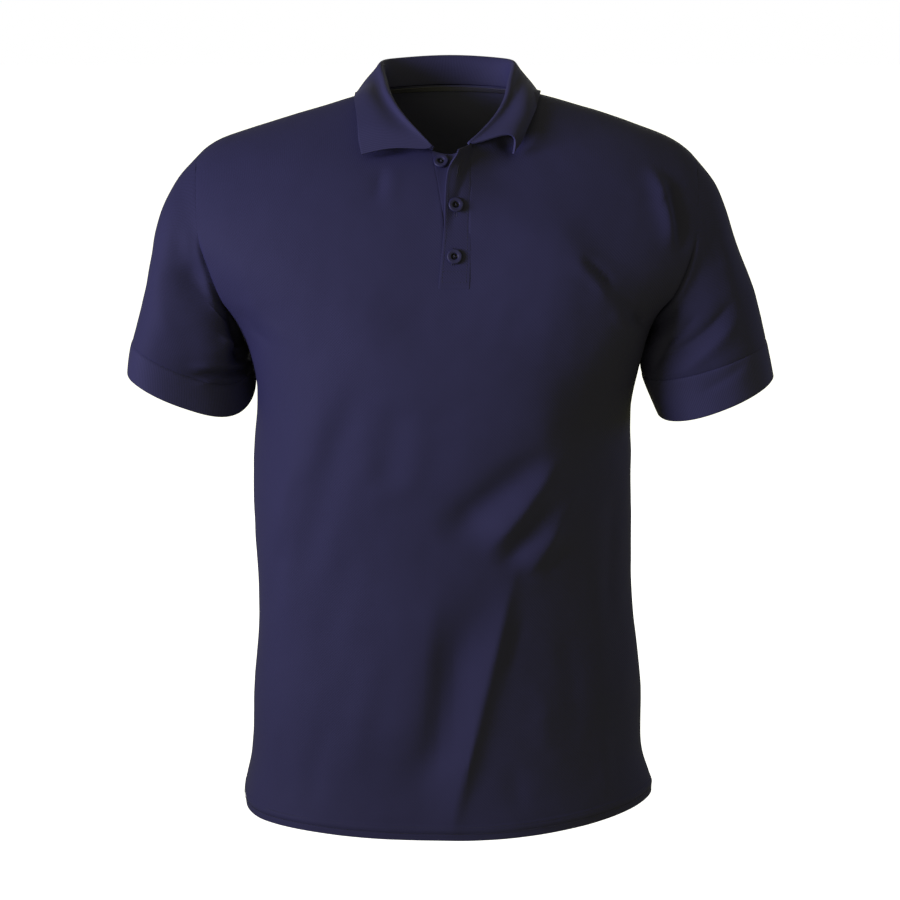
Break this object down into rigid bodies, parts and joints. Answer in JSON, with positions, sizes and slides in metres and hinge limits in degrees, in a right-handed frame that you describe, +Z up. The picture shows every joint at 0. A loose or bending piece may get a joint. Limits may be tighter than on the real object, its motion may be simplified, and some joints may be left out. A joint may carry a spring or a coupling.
{
  "type": "short-sleeved polo shirt",
  "caption": "Short-sleeved polo shirt, filled as if worn, with a turned-down knitted collar, a buttoned placket open at the neck, set-in sleeves with ribbed cuffs and a plain hem.",
  "frame": {"origin": "middle of the neck opening, level with the inner ends of the shoulder seams, where the shirt rests on the wearer's shoulders", "axes": "+Z up, -Y out of the chest, +X to the wearer's left"},
  "size_m": [0.6348, 0.2471, 0.7566],
  "materials": {
    "pique_navy": "matt cotton pique knit",
    "rib_navy": "matt flat-knit rib",
    "tape_navy": "matt twill tape",
    "button_navy": "satin"
  },
  "bodies": {
    "root": {"front": "pique_navy", "back": "pique_navy", "sleeve_left": "pique_navy", "sleeve_right": "pique_navy", "cuff_left": "rib_navy", "cuff_right": "rib_navy", "collar": "rib_navy", "placket_top": "pique_navy", "placket_under": "pique_navy", "neck_tape": "tape_navy", "button_top": "button_navy", "button_middle": "button_navy", "button_low": "button_navy"}
  },
  "joints": []
}
